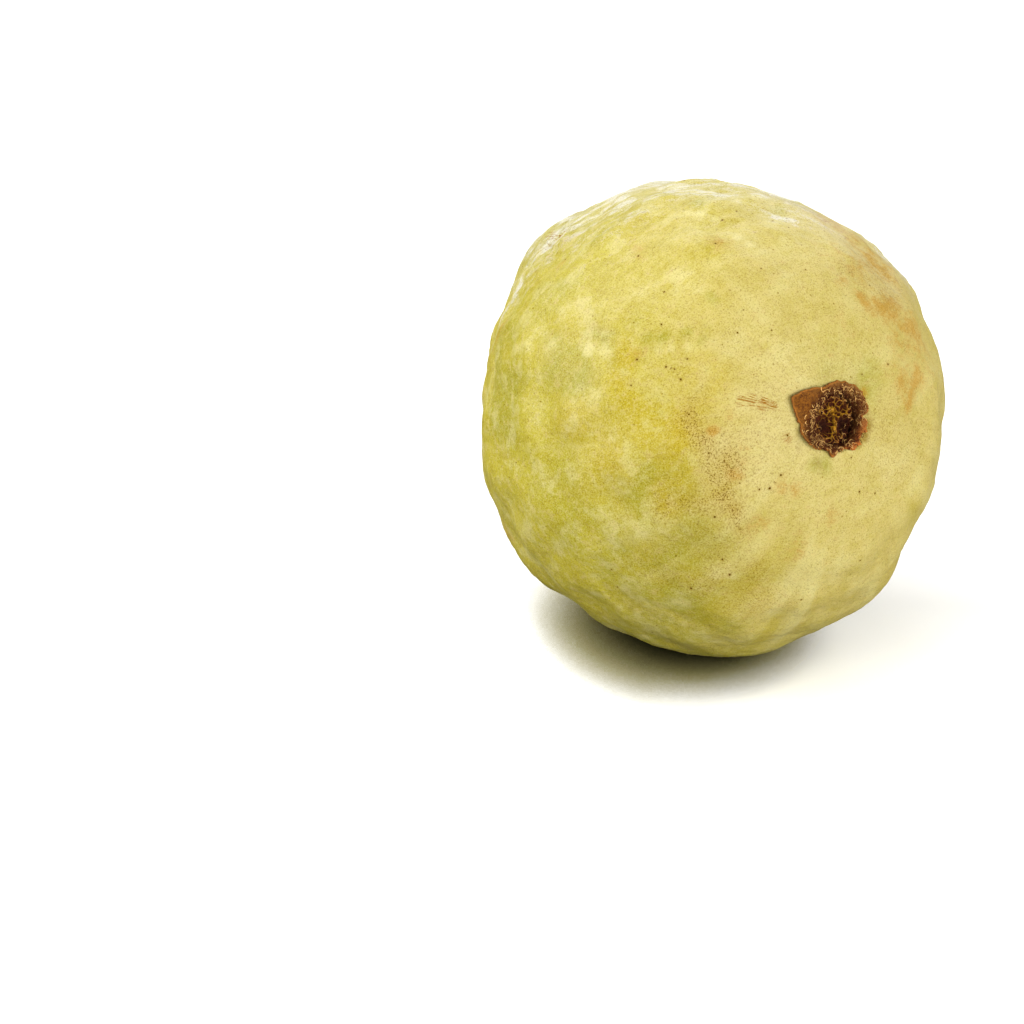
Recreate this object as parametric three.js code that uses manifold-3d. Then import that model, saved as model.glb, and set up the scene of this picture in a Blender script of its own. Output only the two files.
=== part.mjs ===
// A large apple guava, whole and ripe, as picked. It lies on its side on a small flat spot, its dried
// calyx tipped up at the -Y end and its stem scar low at the +Y end. Millimetres, +Z up, origin at the
// centre of the base. Four pieces: the fruit, the calyx, the floral disc with its stamens, and the stem.
import * as THREE from "three";
import { mergeVertices } from "three/addons/utils/BufferGeometryUtils.js";
import Module from "manifold-3d";

const wasm = await Module();
wasm.setup();

// Driving dimensions.
const EQUATOR_RADIUS = 45;
const CALYX_LENGTH = 43.5; // from the body's centre to the skin at the calyx
const STEM_LENGTH = 48.5; // from the body's centre to the skin at the stem, dimple left out
const AXIS_TILT = 21.4; // degrees that the calyx end is tipped up
const FLAT_SPOT_DEPTH = 0.9; // flattened off the lowest point, where the fruit rests
const SEAT_GAP = 0.35; // between a dried piece and the flesh that it sits in

const CALYX_OFFSET = 1; // the calyx sits this far to +X of the axis
const CALYX_NECK = 5.5; // outer radius of the calyx cup
const CALYX_DEPTH = 3.7;
const STEM_RADIUS = 3.3;
const STEM_DEPTH = 2.2;

const GOLDEN_ANGLE = Math.PI * (3 - Math.sqrt(5));
const GOLDEN_SHARE = (Math.sqrt(5) - 1) / 2;

// ---------------------------------------------------------------------------------------------------
// The skin. A direction from the body's centre has a polar angle, 0 at the calyx and 180 at the stem,
// and a bearing round the axis, 90 at the top of the fruit as it lies. All angles are in degrees.

// Swellings and hollows that a hand would feel: where they are, how high, and how wide.
const SWELLINGS = [
  { bearing: 114, polar: 119, height: 3.5, width: 11 }, // shoulder
  { bearing: 92, polar: 95, height: 1.3, width: 19 }, // crest
  { bearing: 257, polar: 81, height: 1.9, width: 20 }, // belly
  { bearing: 296, polar: 64, height: 1.9, width: 10 }, // heel
  { bearing: 338, polar: 66, height: -2.5, width: 18 }, // hollow flank
  { bearing: 162, polar: 119, height: -2.6, width: 13 }, // hollow back
  { bearing: 30, polar: 71, height: 1.4, width: 14 },
  { bearing: 56, polar: 70, height: -1.0, width: 16 },
];
const STEM_DIMPLE = { depth: 5.2, width: 13 };
const CALYX_BASIN = { depth: 0.5, width: 14 };
const STEM_FOLDS = { count: 9, height: 0.55, polar: 163, width: 11 };
const CALYX_RIBS = { count: 10, height: 0.12, polar: 38, width: 20 };
const ROLL = { wavelength: 27, height: 0.3, waves: 24, turn: 0.4 };
const HAMMERING = { wavelength: 11.5, height: 0.26, waves: 36, turn: 1.7 };

const degrees = (radians) => THREE.MathUtils.radToDeg(radians);
const radians = (angle) => THREE.MathUtils.degToRad(angle);
const bump = (distance, width) => Math.exp(-((distance / width) ** 2));

const outwardAt = (bearing) => new THREE.Vector3(Math.cos(bearing), Math.sin(bearing), 0);

function directionOf(bearing, polar) {
  const tilt = radians(polar);
  return outwardAt(radians(bearing)).multiplyScalar(Math.sin(tilt)).setZ(Math.cos(tilt));
}

// An even, directionless unevenness of about unit height: plane waves whose directions are spread by
// the golden angle, with lengths from 0.75 to 1.25 of the wavelength.
function unevenness(point, { wavelength, waves, turn }) {
  let sum = 0;
  for (let i = 0; i < waves; i++) {
    const z = 1 - (2 * i + 1) / waves;
    const ring = Math.sqrt(1 - z * z);
    const spin = i * GOLDEN_ANGLE + turn;
    const along = point.x * ring * Math.cos(spin) + point.y * ring * Math.sin(spin) + point.z * z;
    const length = wavelength * (0.75 + 0.5 * ((i * GOLDEN_SHARE) % 1));
    sum += Math.sin((2 * Math.PI * along) / length + 0.9 * i * i + 7 * turn);
  }
  return sum / Math.sqrt(waves / 2);
}

// The bare egg of the fruit: blunt at the calyx end, longer and rounder at the stem end.
function eggRadius(cosine) {
  const [length, bluntness] = cosine > 0 ? [CALYX_LENGTH, 2.15] : [STEM_LENGTH, 2];
  const sine = Math.sqrt(Math.max(0, 1 - cosine * cosine));
  const across = (sine / EQUATOR_RADIUS) ** bluntness;
  const along = (Math.abs(cosine) / length) ** bluntness;
  return (across + along) ** (-1 / bluntness);
}

function skinRadius(direction) {
  const polar = degrees(Math.acos(THREE.MathUtils.clamp(direction.z, -1, 1)));
  const bearing = Math.atan2(direction.y, direction.x);
  let radius = eggRadius(direction.z);
  for (const { bearing: at, polar: down, height, width } of SWELLINGS) {
    radius += height * bump(degrees(direction.angleTo(directionOf(at, down))), width);
  }
  const onEgg = direction.clone().multiplyScalar(EQUATOR_RADIUS);
  const roughness = THREE.MathUtils.smoothstep(polar, 12, 62);
  radius += ROLL.height * unevenness(onEgg, ROLL);
  radius += HAMMERING.height * (0.25 + 0.75 * roughness) * unevenness(onEgg, HAMMERING);
  for (const { count, height, polar: at, width } of [STEM_FOLDS, CALYX_RIBS]) {
    const wander = 0.35 * Math.sin(2 * bearing + 1) + 0.25 * Math.sin(3 * bearing);
    radius += height * Math.cos(count * bearing + wander) * bump(polar - at, width);
  }
  radius -= STEM_DIMPLE.depth * bump(180 - polar, STEM_DIMPLE.width);
  return radius - CALYX_BASIN.depth * bump(polar, CALYX_BASIN.width);
}

// ---------------------------------------------------------------------------------------------------
// Closed meshes to solids and back.

function solidOf(geometry) {
  const bare = new THREE.BufferGeometry();
  const source = geometry.index ? geometry.toNonIndexed() : geometry;
  bare.setAttribute("position", source.getAttribute("position").clone());
  const merged = mergeVertices(bare, 1e-4);
  return new wasm.Manifold(
    new wasm.Mesh({
      numProp: 3,
      vertProperties: merged.attributes.position.array,
      triVerts: new Uint32Array(merged.index.array),
    }),
  );
}

function geometryOf(solid) {
  const { vertProperties, triVerts } = solid.getMesh();
  const geometry = new THREE.BufferGeometry();
  geometry.setAttribute("position", new THREE.BufferAttribute(vertProperties, 3));
  geometry.setIndex(new THREE.BufferAttribute(triVerts, 1));
  geometry.computeVertexNormals();
  return geometry;
}

function moveVertices(geometry, move) {
  const position = geometry.getAttribute("position");
  const point = new THREE.Vector3();
  for (let i = 0; i < position.count; i++) {
    move(point.fromBufferAttribute(position, i));
    position.setXYZ(i, point.x, point.y, point.z);
  }
  return geometry;
}

// A lathe turned round Z, from [radius, height] pairs that start and end on the axis.
function turned(profile, segments) {
  const points = profile.map(([radius, height]) => new THREE.Vector2(radius, height));
  return new THREE.LatheGeometry(points, segments).rotateX(Math.PI / 2);
}

// A tapering fibre with three sides, bowed sideways, from its root to its tip.
function fibre(root, tip, bow, thickness) {
  const middle = root.clone().add(tip).multiplyScalar(0.5).add(bow);
  const path = new THREE.QuadraticBezierCurve3(root, middle, tip);
  const corners = [0, 1, 2].map((corner) => {
    const { x, y } = outwardAt((2 * Math.PI * corner) / 3).multiplyScalar(thickness / 2);
    return new THREE.Vector2(x, y);
  });
  const along = { steps: 3, bevelEnabled: false, extrudePath: path };
  return solidOf(new THREE.ExtrudeGeometry(new THREE.Shape(corners), along));
}

// ---------------------------------------------------------------------------------------------------
// The four pieces, each in the fruit's frame: +Z along the axis, out of the calyx.

const CALYX_POLE = skinRadius(new THREE.Vector3(0, 0, 1));
const STEM_POLE = skinRadius(new THREE.Vector3(0, 0, -1));

// Skin and flesh in one, with a pit for the calyx and one for the stem.
function fruitBody() {
  const skin = new THREE.IcosahedronGeometry(1, 19);
  moveVertices(skin, (point) => point.setLength(skinRadius(point.normalize())));
  const calyxPit = turned(
    [
      [0, CALYX_POLE - CALYX_DEPTH - SEAT_GAP],
      [CALYX_NECK + SEAT_GAP, CALYX_POLE - CALYX_DEPTH - SEAT_GAP],
      [CALYX_NECK + SEAT_GAP, CALYX_POLE + 5],
      [0, CALYX_POLE + 5],
    ],
    40,
  ).translate(CALYX_OFFSET, 0, 0);
  const stemPit = turned(
    [
      [0, -STEM_POLE - 5],
      [STEM_RADIUS + SEAT_GAP, -STEM_POLE - 5],
      [STEM_RADIUS + SEAT_GAP, -STEM_POLE + STEM_DEPTH + SEAT_GAP],
      [0, -STEM_POLE + STEM_DEPTH + SEAT_GAP],
    ],
    24,
  );
  return solidOf(skin).subtract(solidOf(calyxPit)).subtract(solidOf(stemPit));
}

// The dried calyx: a shallow leathery cup whose lobes lie out over the skin, two broad, one short, one
// shrunk to a tip and one torn off at the rim.
const SEPALS = [
  { bearing: 145, reach: 10.1, spread: 42 },
  { bearing: 28, reach: 7.9, spread: 50 },
  { bearing: -52, reach: 6.9, spread: 32 },
  { bearing: -106, reach: 7.0, spread: 11 },
  { bearing: -168, reach: 7.4, spread: 40 },
];
const SEPAL_THICKNESS = 0.85;
const SEPAL_CLEARANCE = 0.45; // of a lobe's underside over the skin
const RIM_REACH = 6.1;
const CUP_LIP = 5.05; // inner radius of the cup at its mouth
const CUP_FLOOR = -3.0;

function sepalReach(bearing) {
  let reach = RIM_REACH;
  for (const sepal of SEPALS) {
    const off = Math.abs(THREE.MathUtils.euclideanModulo(bearing - sepal.bearing + 180, 360) - 180);
    const share = Math.max(0, 1 - off / sepal.spread);
    reach = Math.max(reach, RIM_REACH + (sepal.reach - RIM_REACH) * share ** 0.8);
  }
  return reach;
}

function calyx() {
  const lobe = [0.35, 0.7, 1]; // shares of the way from the neck out to a lobe's edge
  const profile = [
    [0, -CALYX_DEPTH],
    [CALYX_NECK - 0.6, -CALYX_DEPTH],
    [CALYX_NECK, -CALYX_DEPTH + 0.7],
    [CALYX_NECK, 0.3],
    ...lobe.map((share) => [CALYX_NECK + share, 0]),
    ...lobe.toReversed().map((share) => [CALYX_NECK + share, SEPAL_THICKNESS * (share < 1 ? 1 : 0.75)]),
    [CUP_LIP, 1.2],
    [CUP_LIP - 0.15, 0],
    [CUP_LIP - 0.3, -1.6],
    [CUP_LIP - 0.45, CUP_FLOOR],
    [0, CUP_FLOOR],
  ];
  // Beyond the neck, the profile's radius is a share of the lobe and its height is over the skin. The
  // cup's inside is puckered.
  const shape = moveVertices(turned(profile, 72), (point) => {
    const radius = Math.hypot(point.x, point.y);
    const bearing = Math.atan2(point.y, point.x);
    const share = radius - CALYX_NECK;
    if (share > 0.1) {
      const reach = THREE.MathUtils.lerp(CALYX_NECK, sepalReach(degrees(bearing)), share);
      const over = outwardAt(bearing).multiplyScalar(reach);
      const aim = over.clone().add(new THREE.Vector3(CALYX_OFFSET, 0, CALYX_POLE)).normalize();
      const crumple = 0.16 * Math.sin(5 * bearing + 4 * share) + 0.12 * Math.sin(11 * bearing);
      const rise = skinRadius(aim) * aim.z - CALYX_POLE + SEPAL_CLEARANCE + Math.abs(crumple);
      point.copy(over.setZ(point.z + rise));
    } else if (radius < CUP_LIP + 0.1 && point.z > CUP_FLOOR) {
      const pucker = 1 + 0.02 * Math.sin(7 * bearing);
      point.x *= pucker;
      point.y *= pucker;
    }
  });
  return solidOf(shape);
}

// What is left of the flower inside the cup: a corky disc with a ridge across it, a deep pit on each
// side of the ridge, and the dried stamens round its edge.
const DISC_RADIUS = 4.3;
const DISC_TOP = -0.8;
const DISC_THICKNESS = 1.85;
const RIDGE = { x: 0.3, height: 0.5, width: 0.45, reach: 2.8 };
const DISC_PITS = [
  { x: -1.8, y: -0.8, depth: 1.3, width: 1.3 },
  { x: 2.5, y: -1.6, depth: 1.4, width: 1.5 },
];
const STAMENS = 44;
const STAMEN_THICKNESS = 0.62;

function floralDisc() {
  const rings = [3.9, 3.4, 2.9, 2.4, 1.9, 1.4, 0.9, 0.45];
  const profile = [
    [0, DISC_TOP - DISC_THICKNESS],
    [DISC_RADIUS - 0.3, DISC_TOP - DISC_THICKNESS],
    [DISC_RADIUS, DISC_TOP - DISC_THICKNESS + 0.3],
    [DISC_RADIUS, DISC_TOP],
    ...rings.map((radius) => [radius, DISC_TOP + 0.35 * bump(radius - 3.8, 0.5)]),
    [0, DISC_TOP],
  ];
  const disc = moveVertices(turned(profile, 36), (point) => {
    if (Math.hypot(point.x, point.y) > DISC_RADIUS - 0.1 || point.z < DISC_TOP - 0.1) return;
    const along = 1 - THREE.MathUtils.smoothstep(Math.abs(point.y), RIDGE.reach - 0.8, RIDGE.reach + 0.4);
    let rise = RIDGE.height * along * bump(point.x - RIDGE.x, RIDGE.width);
    for (const { x, y, depth, width } of DISC_PITS) {
      rise -= depth * bump(Math.hypot(point.x - x, point.y - y), width);
    }
    point.z += rise;
  });
  let solid = solidOf(disc);
  for (let i = 0; i < STAMENS; i++) {
    const outward = outwardAt(i * GOLDEN_ANGLE);
    const sideways = outwardAt(i * GOLDEN_ANGLE + Math.PI / 2);
    const ring = 3.0 + 0.9 * Math.sqrt((i * GOLDEN_SHARE) % 1);
    const lean = 0.45 * Math.sin(2.3 * i) - 0.05;
    const rise = 0.8 + 0.8 * ((i * 0.37) % 1);
    const root = outward.clone().multiplyScalar(ring).setZ(DISC_TOP - 1.4);
    const tip = outward.clone().multiplyScalar(ring + lean).setZ(DISC_TOP + rise);
    tip.addScaledVector(sideways, 0.5 * Math.sin(1.9 * i + 1));
    const bow = sideways.multiplyScalar(0.45 * Math.cos(3.1 * i)).addScaledVector(outward, -0.15);
    solid = solid.add(fibre(root, tip, bow, STAMEN_THICKNESS));
  }
  return solid;
}

// The snapped-off fruit stalk: a woody plug in the dimple, its torn end a crown of short splinters.
const SPLINTERS = 15;
const SPLINTER_THICKNESS = 0.95;

function stem() {
  const plug = turned(
    [
      [0, -STEM_DEPTH],
      [STEM_RADIUS, -STEM_DEPTH],
      [STEM_RADIUS, 0.4],
      [STEM_RADIUS - 0.5, 1.1],
      [STEM_RADIUS - 1.5, 0.7],
      [0, 0.9],
    ],
    24,
  );
  moveVertices(plug, (point) => {
    const bearing = Math.atan2(point.y, point.x);
    const flutes = 0.05 * Math.abs(Math.sin(2.5 * bearing)) + 0.03 * Math.abs(Math.sin(4 * bearing + 1));
    point.x *= 1 - flutes;
    point.y *= 1 - flutes;
  });
  let solid = solidOf(plug);
  for (let i = 0; i < SPLINTERS; i++) {
    const outward = outwardAt(i * GOLDEN_ANGLE);
    const ring = 0.5 + 2.0 * Math.sqrt((i + 0.5) / SPLINTERS);
    const root = outward.clone().multiplyScalar(ring).setZ(0.2);
    const rise = 1.7 + 0.9 * ((i * 0.43) % 1);
    const tip = outward.clone().multiplyScalar(ring + 0.5 * Math.sin(2 * i)).setZ(rise);
    const bow = outwardAt(i * GOLDEN_ANGLE + Math.PI / 2).multiplyScalar(0.3 * Math.cos(2.7 * i));
    solid = solid.add(fibre(root, tip, bow, SPLINTER_THICKNESS));
  }
  return solid;
}

// ---------------------------------------------------------------------------------------------------
// Laying the fruit down: the axis is tipped, the lowest point comes to the table, and the flat spot is
// cut level with it.

const layDown = new THREE.Matrix4().makeRotationX(radians(90 - AXIS_TILT));
const body = geometryOf(fruitBody()).applyMatrix4(layDown);
body.computeBoundingBox();
const lift = -body.boundingBox.min.z - FLAT_SPOT_DEPTH;
body.translate(0, 0, lift);
const below = new THREE.BoxGeometry(200, 200, 40).translate(0, 0, -20);
const fruitGeometry = geometryOf(solidOf(body).subtract(solidOf(below)));

const finish = (color, roughness) => new THREE.MeshStandardMaterial({ color, roughness, metalness: 0 });

function piece(name, geometry, material) {
  const mesh = new THREE.Mesh(geometry, material);
  mesh.name = name;
  return mesh;
}

// The dried pieces hang in the fruit's own frame, at the two ends of its axis.
const axisFrame = new THREE.Group();
axisFrame.rotation.x = radians(90 - AXIS_TILT);
axisFrame.position.z = lift;

const calyxEnd = new THREE.Group();
calyxEnd.position.set(CALYX_OFFSET, 0, CALYX_POLE);
calyxEnd.add(piece("calyx", geometryOf(calyx()), finish(0x6b4022, 0.85)));
calyxEnd.add(piece("floral_disc", geometryOf(floralDisc()), finish(0x4a2a1c, 0.95)));

const stemEnd = new THREE.Group();
stemEnd.position.z = -STEM_POLE;
stemEnd.rotation.x = Math.PI;
stemEnd.add(piece("stem", geometryOf(stem()), finish(0x7a5638, 0.9)));

axisFrame.add(calyxEnd, stemEnd);

const guava = new THREE.Group();
guava.add(piece("fruit", fruitGeometry, finish(0xd2c06a, 0.45)), axisFrame);

// The origin is at the centre of the base.
const middle = new THREE.Box3().setFromObject(guava, true).getCenter(new THREE.Vector3());
guava.position.set(-middle.x, -middle.y, 0);

const part = new THREE.Group();
part.add(guava);

export default part;
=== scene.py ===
# A large apple guava, whole and ripe, lying on its side on a white table: the fruit, the dried calyx at
# one end with what is left of the flower inside it, and the snapped stalk at the other end.
import math

import bpy
import numpy as np
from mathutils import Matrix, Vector, noise


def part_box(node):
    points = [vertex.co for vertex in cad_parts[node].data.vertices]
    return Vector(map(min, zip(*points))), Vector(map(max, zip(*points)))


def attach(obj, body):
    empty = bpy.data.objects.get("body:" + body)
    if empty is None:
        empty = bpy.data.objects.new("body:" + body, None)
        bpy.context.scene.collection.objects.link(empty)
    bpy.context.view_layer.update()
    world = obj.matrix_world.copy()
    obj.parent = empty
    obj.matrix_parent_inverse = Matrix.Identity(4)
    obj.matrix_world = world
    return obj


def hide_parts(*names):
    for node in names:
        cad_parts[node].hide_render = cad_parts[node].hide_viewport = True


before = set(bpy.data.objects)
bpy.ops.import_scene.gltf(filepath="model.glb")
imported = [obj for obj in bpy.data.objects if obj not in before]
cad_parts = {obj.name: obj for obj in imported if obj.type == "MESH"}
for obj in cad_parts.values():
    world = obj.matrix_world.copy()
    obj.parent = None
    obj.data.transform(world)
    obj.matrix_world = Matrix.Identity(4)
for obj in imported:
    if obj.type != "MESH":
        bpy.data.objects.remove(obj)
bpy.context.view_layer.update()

# ------------------------------------------------------------
# Camera. A long lens looks down on the fruit from the front left, with the calyx a little to the right.
# The fruit sits high and right in the picture.

AZIMUTH, ELEVATION = -32.8, 25.0
DISTANCE = 0.5547
LENS = 100.0  # on a sensor 36 mm wide
AIM_SIDEWAYS, AIM_UP = -0.03783, -0.01979  # from the fruit's heart to the picture's middle
HEART_FROM_MIDDLE = (0.0, -0.0020, -0.0004)

low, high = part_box("fruit")
middle = (low + high) / 2
round_by, raised = math.radians(AZIMUTH), math.radians(ELEVATION)
sideways = Vector((math.cos(round_by), math.sin(round_by), 0))
backwards = Vector((-math.sin(round_by), math.cos(round_by), 0))
towards = Vector((0, 0, math.sin(raised))) - backwards * math.cos(raised)
upwards = towards.cross(sideways)
heart_of_fruit = middle + Vector(HEART_FROM_MIDDLE)
aim = heart_of_fruit + sideways * AIM_SIDEWAYS + upwards * AIM_UP

camera = bpy.data.objects.new("camera", bpy.data.cameras.new("camera"))
camera.data.lens = LENS
camera.data.sensor_width = 36.0
camera.data.clip_start = 0.01
camera.location = heart_of_fruit + towards * DISTANCE
camera.rotation_euler = (aim - camera.location).to_track_quat("-Z", "Y").to_euler()
bpy.context.scene.collection.objects.link(camera)
bpy.context.scene.camera = camera

# ------------------------------------------------------------
# Tools for materials and meshes. A wire is a value on its way out of a node, and a sum of wires adds the
# nodes that work it out, in the same tree.

WHITE = (1, 1, 1, 1)


class Wire:
    """One output of a node, which can be added to, multiplied and so on."""

    def __init__(self, socket):
        self.socket = socket

    def __add__(self, other):
        return maths("ADD", self, other)

    def __sub__(self, other):
        return maths("SUBTRACT", self, other)

    def __mul__(self, other):
        return maths("MULTIPLY", self, other)

    def __truediv__(self, other):
        return maths("DIVIDE", self, other)


def add(tree, kind, inputs=None, **settings):
    """A node with its settings, and with its inputs set to values or joined to wires."""
    made = tree.nodes.new(kind)
    for name, value in settings.items():
        setattr(made, name, value)
    for name, value in (inputs or {}).items():
        if isinstance(value, Wire):
            tree.links.new(value.socket, made.inputs[name])
        else:
            made.inputs[name].default_value = value
    return made


def wire(tree, kind, output, inputs=None, **settings):
    """One output of a node made like that."""
    return Wire(add(tree, kind, inputs, **settings).outputs[output])


def tree_of(*values):
    return next(value.socket.id_data for value in values if isinstance(value, Wire))


def maths(operation, first, second=0.0, third=0.0, clamp=False):
    inputs = {0: first, 1: second, 2: third}
    return wire(tree_of(first, second), "ShaderNodeMath", 0, inputs, operation=operation, use_clamp=clamp)


def vector_maths(operation, first, second=(0, 0, 0), output=0):
    tree = tree_of(first, second)
    return wire(tree, "ShaderNodeVectorMath", output, {0: first, 1: second}, operation=operation)


def scaled(vector, factor):
    return wire(tree_of(vector), "ShaderNodeVectorMath", 0, {0: vector, "Scale": factor}, operation="SCALE")


def mapped(value, low_in, high_in, low_out=0.0, high_out=1.0, kind="SMOOTHSTEP"):
    """A value taken smoothly from one range to another."""
    inputs = {"Value": value, "From Min": low_in, "From Max": high_in, "To Min": low_out, "To Max": high_out}
    return wire(tree_of(value), "ShaderNodeMapRange", "Result", inputs, interpolation_type=kind)


def ramped(*value_and_ends):
    """The same, but in a straight line."""
    return mapped(*value_and_ends, kind="LINEAR")


def blended(share, under, over, kind="MIX"):
    inputs = {0: share, 6: under, 7: over}
    return wire(tree_of(share, under), "ShaderNodeMix", 2, inputs, data_type="RGBA", blend_type=kind)


def by_ray(tree, kind, otherwise, then):
    """One value for rays of a kind and another for the rest."""
    return ramped(wire(tree, "ShaderNodeLightPath", kind), 0, 1, otherwise, then)


def attribute(tree, name, output="Fac"):
    return wire(tree, "ShaderNodeAttribute", output, attribute_name=name)


def new_material(name):
    made = bpy.data.materials.new(name)
    made.use_nodes = True
    made.node_tree.nodes.clear()
    return made, made.node_tree


def finish(tree, kind, inputs):
    add(tree, "ShaderNodeOutputMaterial", {"Surface": wire(tree, kind, "BSDF", inputs)})


def bumped(height, distance):
    inputs = {"Strength": 1.0, "Distance": distance, "Height": height}
    return wire(tree_of(height), "ShaderNodeBump", "Normal", inputs)


def new_group(name, kind, asked, given):
    """A group with named inputs and outputs of given kinds, and the wires that come from its inputs."""
    made = bpy.data.node_groups.new(name, kind)
    for side, sockets in (("INPUT", asked), ("OUTPUT", given)):
        for socket, of_kind in sockets.items():
            made.interface.new_socket(socket, in_out=side, socket_type=f"NodeSocket{of_kind}")
    outputs = add(made, "NodeGroupInput").outputs
    return made, {socket: Wire(outputs[socket]) for socket in asked}


def paint(red, green, blue):
    """A screen colour, 0 to 255, as the linear colour that a shader takes."""
    shares = (red / 255, green / 255, blue / 255)
    return tuple(c / 12.92 if c <= 0.04045 else ((c + 0.055) / 1.055) ** 2.4 for c in shares) + (1.0,)


def linked(made):
    bpy.context.scene.collection.objects.link(made)
    return made


def mesh_object(name, points, faces):
    mesh = bpy.data.meshes.new(name)
    mesh.from_pydata(points.tolist(), [], faces)
    mesh.update()
    mesh.polygons.foreach_set("use_smooth", [True] * len(mesh.polygons))
    return linked(bpy.data.objects.new(name, mesh))


def mark(made, name, values):
    kind = "FLOAT_VECTOR" if values.ndim == 2 else "FLOAT"
    layer = made.data.attributes.new(name, kind, "POINT")
    layer.data.foreach_set("vector" if values.ndim == 2 else "value", values.astype(np.float32).ravel())


def unit_ring(columns):
    """Angles round the axis, and the points of a circle of radius 1 at them."""
    turn = 2 * math.pi * np.arange(columns) / columns
    return turn, np.stack([np.cos(turn), np.sin(turn), 0 * turn], axis=-1)


def grid_faces(rows, columns, first=0, flipped=True):
    """Quads of a grid whose columns close on themselves."""
    faces = []
    for row in range(rows - 1):
        start, below = first + row * columns, first + (row + 1) * columns
        for column in range(columns):
            after = (column + 1) % columns
            faces.append((start + column, below + column, below + after, start + after))
    return [face[::-1] for face in faces] if flipped else faces


def closed_body(pole, rows, far_pole, columns, flipped=True):
    """Points and faces of a closed body: a pole, rows of points round the axis, and the other pole."""
    points = np.concatenate([[pole], *rows, [far_pole]])
    last = len(points) - 1
    around = [(c, (c + 1) % columns) for c in range(columns)]
    cap = [(0, 1 + c, 1 + after) for c, after in around]
    far_cap = [(last, last - columns + after, last - columns + c) for c, after in around]
    if flipped:
        cap, far_cap = ([face[::-1] for face in faces] for faces in (cap, far_cap))
    return points, cap + grid_faces((last - 1) // columns, columns, 1, flipped) + far_cap


# ------------------------------------------------------------
# Table and light. A white table that runs out of sight and five broad soft lights: one low on the left,
# two high behind, and two low in front. The table answers each kind of ray in its own way, and as the
# camera sees it, it carries a painted contact shadow.

SURROUND, REFLECTED = 0.03, 0.30  # the white around, as it lights the fruit and as it mirrors in the skin
SOFT_LIGHTS = [  # bearing from the front, to the right; height; breadth, all in degrees; strength
    (250, 25, 50, 2.9), (200, 50, 60, 2.35), (132, 32, 60, 1.7), (4, 6, 60, 6.0), (50, 12, 50, 0.5),
]
TABLE_REACH = 6.0
TABLE_SHOWS, TABLE_SENDS_UP, TABLE_MIRRORED = 6.3, 0.43, 0.05  # as seen, as it lights the fruit, in its shine
LIT_FROM = (0.016, 0.06)  # metres from the flat spot, between which the table begins to light the fruit
# The table is painted darker where the fruit hides the sky above it, most of all on the left: a painted
# contact shadow, tinted yellow where darkest as painted light bounced from the fruit.
CONTACT_REACH = 0.027
CONTACT_DARK, DARK_CHANGES = (2.74, 1.18), (-0.01, 0.03)  # left and right, and between which metres
PAINTED_BOUNCE_TINT, TINT_FADES = (1, 0.9, 0.36, 1), (0.035, 0.13)  # between these shares of open sky
WHITEST, WHITEST_CHANGES = (1.45, 1.0), (-0.018, 0.008)  # less behind, so that the soft shadow shows there

world = bpy.data.worlds.new("white surround")
world.use_nodes = True
sky = world.node_tree
sky.nodes.clear()
glow = by_ray(sky, "Is Camera Ray", by_ray(sky, "Is Glossy Ray", SURROUND, REFLECTED), 1.0)
around = wire(sky, "ShaderNodeBackground", "Background", {"Color": WHITE, "Strength": glow})
add(sky, "ShaderNodeOutputWorld", {"Surface": around})
bpy.context.scene.world = world
bpy.context.scene.view_settings.view_transform = "Standard"

for number, (bearing, height, breadth, strength) in enumerate(SOFT_LIGHTS):
    lamp = bpy.data.lights.new(f"soft_light_{number}", "SUN")
    lamp.angle = math.radians(breadth)
    lamp.energy = strength
    stand = linked(bpy.data.objects.new(f"soft_light_{number}", lamp))
    stand.rotation_euler = (math.radians(90 - height), 0, math.radians(bearing))

table_white, boards = new_material("table white")
sky_open = wire(boards, "ShaderNodeAmbientOcclusion", "AO", {"Distance": CONTACT_REACH}, samples=16)
spot = wire(boards, "ShaderNodeTexCoord", "Object")
rightwards, depth = (vector_maths("DOT_PRODUCT", spot, way, "Value") for way in (sideways, backwards))
# Painted contact shadow: the hidden sky darkens the colour the camera sees, with a painted yellow bounce.
openness = maths("POWER", sky_open, ramped(rightwards, *DARK_CHANGES, *CONTACT_DARK))
painted_shadow_colour = blended(ramped(openness, *TINT_FADES), PAINTED_BOUNCE_TINT, WHITE)
shown = scaled(scaled(painted_shadow_colour, openness), TABLE_SHOWS)
shown = vector_maths("MINIMUM", shown, ramped(depth, *WHITEST_CHANGES, *WHITEST))
unseen = by_ray(boards, "Is Glossy Ray", TABLE_SENDS_UP, TABLE_MIRRORED)
unseen *= ramped(vector_maths("LENGTH", spot, output="Value"), *LIT_FROM)
whiteness = blended(wire(boards, "ShaderNodeLightPath", "Is Camera Ray"), unseen, shown)
finish(boards, "ShaderNodeBsdfDiffuse", {"Color": whiteness})

corners = TABLE_REACH * np.array([(-1, -1, 0), (1, -1, 0), (1, 1, 0), (-1, 1, 0)])
table = mesh_object("table", corners, [(0, 1, 2, 3)])
table.data.materials.append(table_white)

# ------------------------------------------------------------
# Fruit: skin and flesh in one. A lumpy egg with a dimple at the stem and a pit under each dried end,
# flattened where it rests. Sizes are millimetres, in the fruit's own frame: +Z out of the calyx. A
# direction has a bearing round the axis, 90 at the top as it lies, and a polar angle, 0 at the calyx.

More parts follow.
